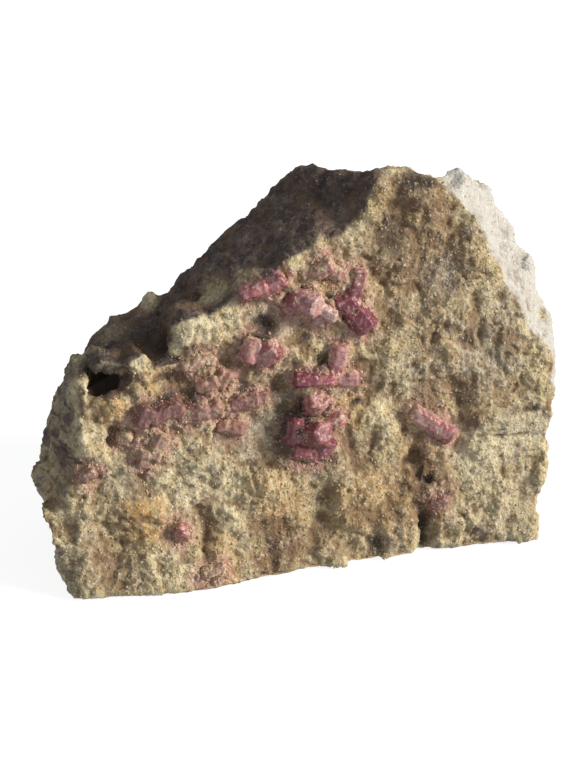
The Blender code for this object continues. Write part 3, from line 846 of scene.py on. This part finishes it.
CREAM = (0.58, 0.483, 0.283)
PALE_CREAM = (0.74, 0.665, 0.445)
TAN = (0.425, 0.325, 0.178)
OLIVE = (0.50, 0.43, 0.20)
MAUVE_GREY = (0.34, 0.285, 0.26)
UMBER = (0.205, 0.125, 0.068)
OCHRE = (0.56, 0.32, 0.10)
ASH = (0.34, 0.305, 0.25)
# Near black, for painted shade in the hollows and for darker patches on the old break.
STAIN_AND_SHADE_BLACK = (0.03, 0.024, 0.022)
# The old break's dark brown, darker than its own colour as painted shade.
OLD_BREAK = (0.070, 0.047, 0.047)
BLEACHED = (0.545, 0.535, 0.505)
QUARTZ = (0.80, 0.77, 0.70)
BLUSH = (0.47, 0.235, 0.215)


def stone_colour(finish):
    """The sugar-grained colour that the block and its loose grains share, with its stains and the
    painted shade of the old break.
    """
    broad_clouds = finish.clouds(7.0, detail=5)
    mottling = finish.clouds(1.3, detail=5, shift=11.0)
    sugar = finish.grey_of(finish.cells(0.50, out="Color", shift=3.0))
    fine_sugar = finish.grey_of(finish.cells(0.25, out="Color", shift=7.0))
    tone = broad_clouds * 0.45 + mottling * 0.42 + sugar * 0.13
    colour = finish.ramp(
        tone,
        ((0.30, UMBER), (0.42, TAN), (0.54, CREAM), (0.72, PALE_CREAM)),
    )
    hue = finish.clouds(1.9, detail=3, shift=61.0)
    colour = finish.mix(finish.step(hue, 0.52, 0.68) * 0.5, colour, OLIVE)
    colour = finish.mix(finish.step(hue, 0.47, 0.32) * 0.42, colour, MAUVE_GREY)
    ragged = finish.step(mottling, 0.35, 0.62)
    colour = finish.mix(finish.carried("cream") * (0.45 + 0.4 * ragged), colour, PALE_CREAM)
    colour = finish.mix(finish.carried("ochre") * (0.25 + 0.6 * ragged), colour, OCHRE)
    colour = finish.mix(finish.carried("brown") * (0.38 + 0.60 * ragged), colour, UMBER)
    colour = finish.mix(finish.carried("grey") * (0.35 + 0.45 * ragged), colour, ASH)
    colour = finish.mix(finish.carried("blush") * (0.25 + 0.5 * ragged), colour, BLUSH)
    # The old break: dark brown, partly painted shade, in patches darker still.
    old = finish.carried("old_break")
    colour = finish.mix(old * (0.84 + 0.16 * ragged), colour, OLD_BREAK)
    colour = finish.mix(old * finish.step(broad_clouds, 0.48, 0.38) * 0.6, colour, STAIN_AND_SHADE_BLACK)
    colour = finish.mix(old * finish.step(hue, 0.56, 0.68) * 0.3, colour, MAUVE_GREY)
    fresh = finish.carried("fresh_break")
    colour = finish.mix(fresh * (0.80 + 0.2 * ragged), colour, BLEACHED)
    pale_specks = finish.step(fine_sugar, 0.80, 0.92) * 0.35
    dark_specks = finish.step(sugar * fine_sugar, 0.10, 0.02) * (0.5 - 0.35 * fresh)
    colour = finish.mix(pale_specks * (1 - old * 0.8), colour, QUARTZ)
    return finish.mix(dark_specks, colour, UMBER)


finish = Finish("rhyolite_stone")
colour = stone_colour(finish)
# Painted shade: the low parts of the relief are darkened towards umber.
low = finish.step(finish.carried("height"), 0.50, 0.12)
colour = finish.mix(low * 0.8, colour, UMBER)
# Painted shade in the hollows, holes, cracks and caves.
colour = finish.mix(finish.carried("hollow") * 0.9, colour, STAIN_AND_SHADE_BLACK)
grit = finish.clouds(0.32, detail=6, roughness=0.7, shift=19.0)
sugar_faces = finish.cells(0.38, shift=23.0)
shine = finish.ramp(finish.clouds(0.5, shift=31.0), ((0.3, (0.95,) * 3), (0.75, (0.62,) * 3)))
normal = finish.bump(grit, 0.16)
normal = finish.bump(sugar_faces, 0.10, below=normal)
surface = finish.surface(
    Base_Color=colour,
    Roughness=finish.grey_of(shine),
    Normal=normal,
    Specular_IOR_Level=0.35,
)
stone.data.materials.clear()
stone.data.materials.append(finish.done(surface))
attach(stone, "root")
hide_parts("matrix")

# --------------------------------------------------------------------------------------------------
# The crystals: six-sided prisms of red beryl, single or grown together. Their faces are etched and
# veined, their edges are worn and chipped, and some are crusted over with grains of the stone.
# --------------------------------------------------------------------------------------------------
CRYSTAL_CELL = 0.12
RED_BERYL_IOR = 1.577

# Sizes and heights of the waves of a face, in millimetres. Then the etch: its depth where a crystal
# is dullest, the slope of its steps, and the size, share and shift of each layer of them. Last the
# chips, which open where a noise is above a level.
WAVES = ((1.1, 0.09), (0.4, 0.06))
ETCH_DEPTH, ETCH_SLOPE = 0.16, 0.5
ETCH_LAYERS = ((0.75, 1.2, (7, 3, 1)), (0.38, 0.6, (0, 0, 0)))
CHIP_SIZE, CHIP_SHIFT, CHIP_LEVEL, CHIP_DEPTH = 1.1, (9, 4, 2), 0.30, 0.5

# Each kind of crystal: its main colour, its deep colour, its pale veils and how dull its faces are.
BERYL = {
    "beryl_rose": ((0.58, 0.18, 0.185), (0.27, 0.055, 0.08), (0.74, 0.52, 0.46), 0.45),
    "beryl_deep": ((0.56, 0.12, 0.165), (0.24, 0.035, 0.07), (0.72, 0.46, 0.42), 0.38),
    "beryl_pale": ((0.62, 0.28, 0.28), (0.38, 0.11, 0.14), (0.80, 0.64, 0.56), 0.42),
    "beryl_dusky": ((0.40, 0.165, 0.135), (0.22, 0.08, 0.075), (0.54, 0.37, 0.285), 0.6),
    "beryl_peach": ((0.52, 0.28, 0.20), (0.35, 0.15, 0.115), (0.64, 0.47, 0.34), 0.6),
}

# How each crystal has weathered. Crust: how far stone sugars it over, then how much more to the right
# and upwards. Depth: how deep its colour is, then how much deeper to the right and upwards.
WEATHER = {
    "beryl_right_prism": ((0.0, -0.16, 0.08), (-0.17, 0.12, 0.0)),
    "beryl_centre_cluster": ((0.0, 0.06, 0.0), (0.35, -0.25, -0.35)),
    "beryl_centre_knob": ((0.0, 0.0, 0.03), (-0.15, -0.1, 0.0)),
    "beryl_long_bar": ((0.01, 0.12, 0.08), (-0.08, -0.46, -0.05)),
    "beryl_pale_crystal": ((-0.02, 0.05, 0.0), (-0.1, -0.35, -0.1)),
    "beryl_deep_crystal": ((-0.01, -0.03, 0.17), (0.42, 0.05, -0.5)),
    "beryl_edge_cluster": ((0.0, 0.0, 0.0), (0.05, 0.0, -0.2)),
    "beryl_top_cluster": ((0.16, 0.0, 0.05), (0.15, 0.0, 0.0)),
    "beryl_left_knob": ((0.02, -0.02, 0.18), (-0.05, 0.1, -0.1)),
    "beryl_band_left": ((0.01, 0.02, 0.03), (0.1, -0.35, 0.0)),
    "beryl_band_right": ((0.01, -0.03, 0.0), (0.05, -0.1, 0.0)),
    "beryl_upper_pair": ((0.18, 0.0, 0.05), (-0.9, 0.0, 0.0)),
    "beryl_peach_pair": ((0.04, 0.0, 0.03), (0.0, 0.0, 0.0)),
    "beryl_peach_crystal": ((0.05, 0.0, 0.0), (0.2, 0.0, 0.0)),
    "beryl_lower_left_cluster": ((0.11, 0.05, 0.05), (-0.3, 0.0, -0.1)),
    "beryl_left_grain": ((0.26, 0.0, 0.0), (0.1, 0.0, 0.0)),
    "beryl_corner_grain": ((0.17, 0.0, 0.0), (0.0, 0.0, 0.0)),
    "beryl_lone_crystal": ((0.17, 0.04, 0.05), (0.15, 0.0, 0.0)),
    "beryl_foot_crystal": ((0.22, 0.0, 0.0), (-0.2, 0.0, 0.0)),
    "beryl_groove_crystal": ((0.0, 0.05, 0.05), (1.7, 0.0, 0.0)),
}


def beryl(kind):
    """The crystal's finish: veined colour below a worn skin, crusted with grains of stone."""
    main, deep, veil, dullness = BERYL[kind]
    finish = Finish(kind)
    depths = finish.clouds(1.7, detail=4, shift=5.0)
    veils = finish.clouds(0.7, detail=6, roughness=0.7, shift=9.0)
    flecks = finish.grey_of(finish.cells(0.30, out="Color", shift=13.0))
    fine_flecks = finish.grey_of(finish.cells(0.17, out="Color", shift=15.0))
    depth = finish.carried("depth")
    colour = finish.mix(finish.step(depths + depth * 0.5, 0.60, 0.38), deep, main)
    colour = finish.mix(finish.step(depth, 0.15, 0.75) * 0.8, colour, deep)
    colour = finish.mix(finish.step(depth, 1.2, 1.8) * 0.7, colour, UMBER)
    colour = finish.mix(finish.step(veils - depth * 0.4, 0.50, 0.62) * 0.7, colour, veil)
    # Healed cracks are pale lines, where a cloud is near its middle value.
    healed = finish.clouds(1.1, detail=3, shift=27.0) - 0.5
    colour = finish.mix(finish.step(healed.at_least(0.0 - healed), 0.022, 0.004) * 0.3, colour, CREAM)
    colour = finish.mix(finish.step(flecks, 0.84, 0.97) * 0.35, colour, veil)
    colour = finish.mix(finish.step(flecks * fine_flecks, 0.10, 0.02) * 0.5, colour, deep)
    roughness = finish.step(veils, 0.35, 0.7) * 0.3 + dullness * 0.7
    etch = finish.clouds(0.20, detail=5, roughness=0.65, shift=37.0)
    normal = finish.bump(etch, 0.05)
    skin = finish.surface(
        Base_Color=colour,
        Roughness=roughness,
        Normal=normal,
        IOR=RED_BERYL_IOR,
        Transmission_Weight=0.25,
        Subsurface_Weight=0.25,
        Subsurface_Radius=(1.0, 0.35, 0.3),
        Subsurface_Scale=0.6 * MM,
        Coat_Weight=0.2,
        Coat_Roughness=0.22,
    )
    crust_colour = finish.ramp(
        fine_flecks * 0.55 + veils * 0.45,
        ((0.22, UMBER), (0.36, TAN), (0.50, BLUSH), (0.62, CREAM), (0.80, PALE_CREAM)),
    )
    crust_normal = finish.bump(finish.clouds(0.28, detail=6, roughness=0.7, shift=19.0), 0.15)
    crust = finish.surface(Base_Color=crust_colour, Roughness=0.85, Normal=crust_normal)
    patchy = finish.clouds(0.9, detail=7, roughness=0.72, shift=43.0)
    cover = finish.step(patchy + finish.carried("crust"), 0.67, 0.75)
    both = finish.node("ShaderNodeMixShader", values={0: cover, 1: skin, 2: crust})
    return finish.done(both)


def share_along(values):
    """-1 at the least value, 1 at the greatest."""
    low, high = values.min(), values.max()
    return 2 * (values - low) / (high - low) - 1


def cut_crystal(node, kind, material):
    """The finely shaped crystal that stands for a CAD crystal."""
    crystal = add_piece(f"{node.name}_cut", whole_skin(node))
    remesh(crystal, CRYSTAL_CELL)
    mesh = crystal.data
    place, out = points_of(mesh), normals_of(mesh)
    dullness = BERYL[kind][3]
    etched = np.empty(len(place))
    for i, p in enumerate(place):
        spot = Vector(p)
        etched[i] = sum(height * noise.noise(spot / size) for size, height in WAVES)
        for size, share, shift in ETCH_LAYERS:
            steps = hackle(spot / size + Vector(shift), ETCH_SLOPE)
            etched[i] += ETCH_DEPTH * share * dullness * steps
        chip = noise.noise(spot / CHIP_SIZE + Vector(CHIP_SHIFT)) - CHIP_LEVEL
        etched[i] -= CHIP_DEPTH * max(0.0, chip)
    set_points(mesh, place + out * etched[:, None])
    crust, depth = WEATHER[node.name]
    to_right, to_top = share_along(place[:, 0]), share_along(place[:, 2])
    sunk = gap_to(stone_tree, place)
    at_stone = 0.14 * ease(0.6, 0.0, sunk)
    carry(mesh, "crust", crust[0] + crust[1] * to_right + crust[2] * to_top + at_stone)
    carry(mesh, "depth", depth[0] + depth[1] * to_right + depth[2] * to_top)
    mesh.shade_smooth()
    mesh.materials.clear()
    mesh.materials.append(material)
    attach(crystal, "root")
    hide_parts(node.name)
    return crystal


stone_tree = tree_of([stone])
slots = {part["node"]: part["material_slot"] for part in frame["record"]["subparts"]}
finishes = {kind: beryl(kind) for kind in BERYL}
crystals = []
for node in crystal_nodes:
    kind = slots[node.name]
    crystals.append(cut_crystal(node, kind, finishes[kind]))

# --------------------------------------------------------------------------------------------------
# Sugar: loose-looking grains of feldspar and quartz that stand out of the stone, thickest on the
# front and pinker round the crystals, with a fine dust of them on the crystals themselves. Each is a
# small angular lump sunk about half way.
# --------------------------------------------------------------------------------------------------
FRONT_GRAINS, SIDE_GRAINS, PINK_GRAINS, DUST_GRAINS = 7500, 2500, 3500, 1300

# Least and greatest radius in millimetres, and the power that makes most grains small ones. Then how
# much a grain is stretched, how far its corners stand out and how deep it sinks, in radii: each the
# least value and how much more there is at most.
GRAIN_RADII, DUST_RADII = (0.07, 0.20), (0.05, 0.13)
MOSTLY_SMALL = 2.2
GRAIN_STRETCH, GRAIN_CORNERS, GRAIN_SINK = (0.6, 0.7), (0.75, 0.45), (-0.25, 0.35)
ABOVE_SHELF = 0.01

# What a grain takes over from the stone under it.
STAINS = ("cream", "ochre", "brown", "grey", "blush", "old_break", "fresh_break")

# How many triangles the block keeps once the grains lie on it.
BLOCK_TRIANGLES = 196000

draws = np.random.default_rng(7)


def unit_grain():
    """The corners and faces of a small round lump about 1 in radius."""
    bm = bmesh.new()
    bmesh.ops.create_icosphere(bm, subdivisions=1, radius=1.0)
    corners = np.array([v.co for v in bm.verts])
    faces = np.array([[v.index for v in f.verts] for f in bm.faces])
    bm.free()
    return corners, faces


def drawn(shape, least, spread):
    """Random numbers from least upwards, by as much as spread."""
    return least + spread * draws.random(shape)


def scatter(name, ground, count, weights, material, radii=GRAIN_RADII):
    """One mesh of grains, sunk into the ground at random, thickest where the weights are great."""
    mesh = ground.data
    mesh.calc_loop_triangles()
    tris = np.empty(len(mesh.loop_triangles) * 3, np.int32)
    mesh.loop_triangles.foreach_get("vertices", tris)
    tris = tris.reshape(-1, 3)
    at = points_of(mesh)
    a, b, c = at[tris[:, 0]], at[tris[:, 1]], at[tris[:, 2]]
    area = 0.5 * np.linalg.norm(np.cross(b - a, c - a), axis=1) * weights[tris].mean(axis=1)
    chosen = draws.choice(len(tris), count, p=area / area.sum())
    share = draws.random((count, 2))
    share = np.where(share.sum(axis=1, keepdims=True) > 1, 1 - share, share)
    spots = a[chosen] + (b - a)[chosen] * share[:, :1] + (c - a)[chosen] * share[:, 1:]
    out = normals_of(mesh)[tris[chosen, 0]]
    corners, faces = unit_grain()
    small, large = radii
    sizes = small + (large - small) * draws.random(count) ** MOSTLY_SMALL
    stretch = drawn((count, 1, 3), *GRAIN_STRETCH)
    jitter = drawn((count, len(corners), 1), *GRAIN_CORNERS)
    turns = np.linalg.qr(draws.normal(size=(count, 3, 3)))[0]
    lumps = corners[None] * stretch * jitter * sizes[:, None, None]
    shapes = np.einsum("nij,nkj->nki", turns, lumps)
    middles = spots + out * (sizes * drawn(count, *GRAIN_SINK))[:, None]
    placed = shapes + middles[:, None]
    placed[:, :, 2] = np.maximum(placed[:, :, 2], ABOVE_SHELF)
    mirrored = (np.linalg.det(turns) < 0)[:, None, None]
    faces = np.where(mirrored, faces[None, :, ::-1], faces[None])
    joined = (faces + (np.arange(count) * len(corners))[:, None, None]).reshape(-1, 3)
    grains_mesh = bpy.data.meshes.new(name)
    grains_mesh.from_pydata((placed.reshape(-1, 3) * MM).tolist(), [], joined.tolist())
    for layer in STAINS:
        if layer in mesh.attributes:
            held = np.empty(len(mesh.vertices), np.float32)
            mesh.attributes[layer].data.foreach_get("value", held)
            carry(grains_mesh, layer, np.repeat(held[tris[chosen, 0]], len(corners)))
    carry(grains_mesh, "tone", np.repeat(draws.random(count), len(corners)))
    piece = bpy.data.objects.new(name, grains_mesh)
    bpy.context.scene.collection.objects.link(piece)
    grains_mesh.materials.append(material)
    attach(piece, "root")


finish = Finish("stone_sugar")
colour = stone_colour(finish)
own = finish.carried("tone")
colour = finish.mix(finish.step(own, 0.60, 1.0) * 0.30, colour, PALE_CREAM)
colour = finish.mix(finish.step(own, 0.30, 0.0) * 0.40, colour, TAN)
normal = finish.bump(finish.clouds(0.15, detail=4, shift=47.0), 0.04)
sugar_finish = finish.done(finish.surface(Base_Color=colour, Roughness=0.7, Normal=normal))

finish = Finish("rose_sugar")
colour = finish.ramp(
    finish.carried("tone") * 0.75 + finish.clouds(0.8, shift=51.0) * 0.25,
    ((0.12, (0.40, 0.17, 0.16)), (0.34, BLUSH), (0.60, (0.50, 0.33, 0.25)), (0.88, CREAM)),
)
normal = finish.bump(finish.clouds(0.15, detail=4, shift=47.0), 0.04)
rose_finish = finish.done(finish.surface(Base_Color=colour, Roughness=0.6, Normal=normal))

front_weight = facing_front * rough * (0.35 + 0.65 * ease(0.35, 0.65, height_share))
side_weight = (1 - facing_front) * (1 - on_foot) * (0.5 + 0.5 * rough)
pink_weight = facing_front * ease(1.1, 0.2, crystal_gap + 0.3 * mottle)
scatter("stone_sugar_front", stone, FRONT_GRAINS, front_weight, sugar_finish)
scatter("stone_sugar_sides", stone, SIDE_GRAINS, side_weight, sugar_finish)
scatter("rose_sugar", stone, PINK_GRAINS, pink_weight, rose_finish)

# The dust is thickest where a crystal comes out of the stone.
faces_of_crystals = join_all("held", [skin_of(crystal) for crystal in crystals])
dust_weight = 0.05 + ease(1.0, 0.1, gap_to(stone_tree, points_of(faces_of_crystals.data)))
scatter("crystal_sugar", faces_of_crystals, DUST_GRAINS, dust_weight, rose_finish, DUST_RADII)
bpy.data.objects.remove(faces_of_crystals)

# The grains are placed, so the block's fine mesh can be thinned where it is flattest.
stone.data.calc_loop_triangles()
everywhere = np.ones(len(stone.data.vertices), bool)
coarsen(stone, everywhere, BLOCK_TRIANGLES / len(stone.data.loop_triangles))

# --------------------------------------------------------------------------------------------------
# The studio: a plain white floor that runs on out of sight, one large warm lamp low at the right, and
# a dim white room round it.
# --------------------------------------------------------------------------------------------------
FLOOR_HALF, FLOOR_DROP = 6.0, 0.0002
LAMP_AWAY, LAMP_AIM = 1.4, Vector((0, 0, 0.02))
CAMERA_AWAY, CAMERA_AIM = 277, Vector((-4.45, -12.1, 23.4))
CAMERA_TURN, CAMERA_RISE = math.radians(-15), math.radians(22)

bm = bmesh.new()
bmesh.ops.create_grid(bm, x_segments=1, y_segments=1, size=FLOOR_HALF)
floor = add_piece("floor", bm)
floor.location.z = -FLOOR_DROP
finish = Finish("white_floor")
paper = finish.clouds(60.0, detail=2)
surface = finish.surface(
    Base_Color=finish.mix(paper * 0.1, (0.30, 0.30, 0.30), (0.26, 0.26, 0.26)),
    Roughness=0.9,
    Emission_Color=(1.0, 1.0, 1.0),
    Emission_Strength=0.85,
)
floor.data.materials.append(finish.done(surface))
floor.visible_diffuse = False

key_data = bpy.data.lights.new("key_lamp", "AREA")
key_data.shape = "DISK"
key_data.size = 0.5
key_data.energy = 27
key_data.color = (1.0, 0.93, 0.83)
key = bpy.data.objects.new("key_lamp", key_data)
bpy.context.scene.collection.objects.link(key)
key_from = Vector((0.81, -0.46, 0.36)).normalized()
key.location = LAMP_AIM + key_from * LAMP_AWAY
key.rotation_euler = key_from.to_track_quat("Z", "Y").to_euler()

world = bpy.data.worlds.new("studio")
world.use_nodes = True
room = world.node_tree.nodes["Background"].inputs
room["Color"].default_value = (0.93, 0.96, 1.0, 1)
room["Strength"].default_value = 0.40
bpy.context.scene.world = world
bpy.context.scene.view_settings.view_transform = "Standard"

camera_data = bpy.data.cameras.new("camera")
camera_data.lens = 116
camera_data.sensor_width = 36
camera_data.clip_start = 0.01
camera_data.clip_end = 20
camera = bpy.data.objects.new("camera", camera_data)
bpy.context.scene.collection.objects.link(camera)
level = math.cos(CAMERA_RISE)
back = Vector((math.sin(CAMERA_TURN) * level, -math.cos(CAMERA_TURN) * level, math.sin(CAMERA_RISE)))
camera.location = (CAMERA_AIM + back * CAMERA_AWAY) * MM
camera.rotation_euler = back.to_track_quat("Z", "Y").to_euler()
bpy.context.scene.camera = camera
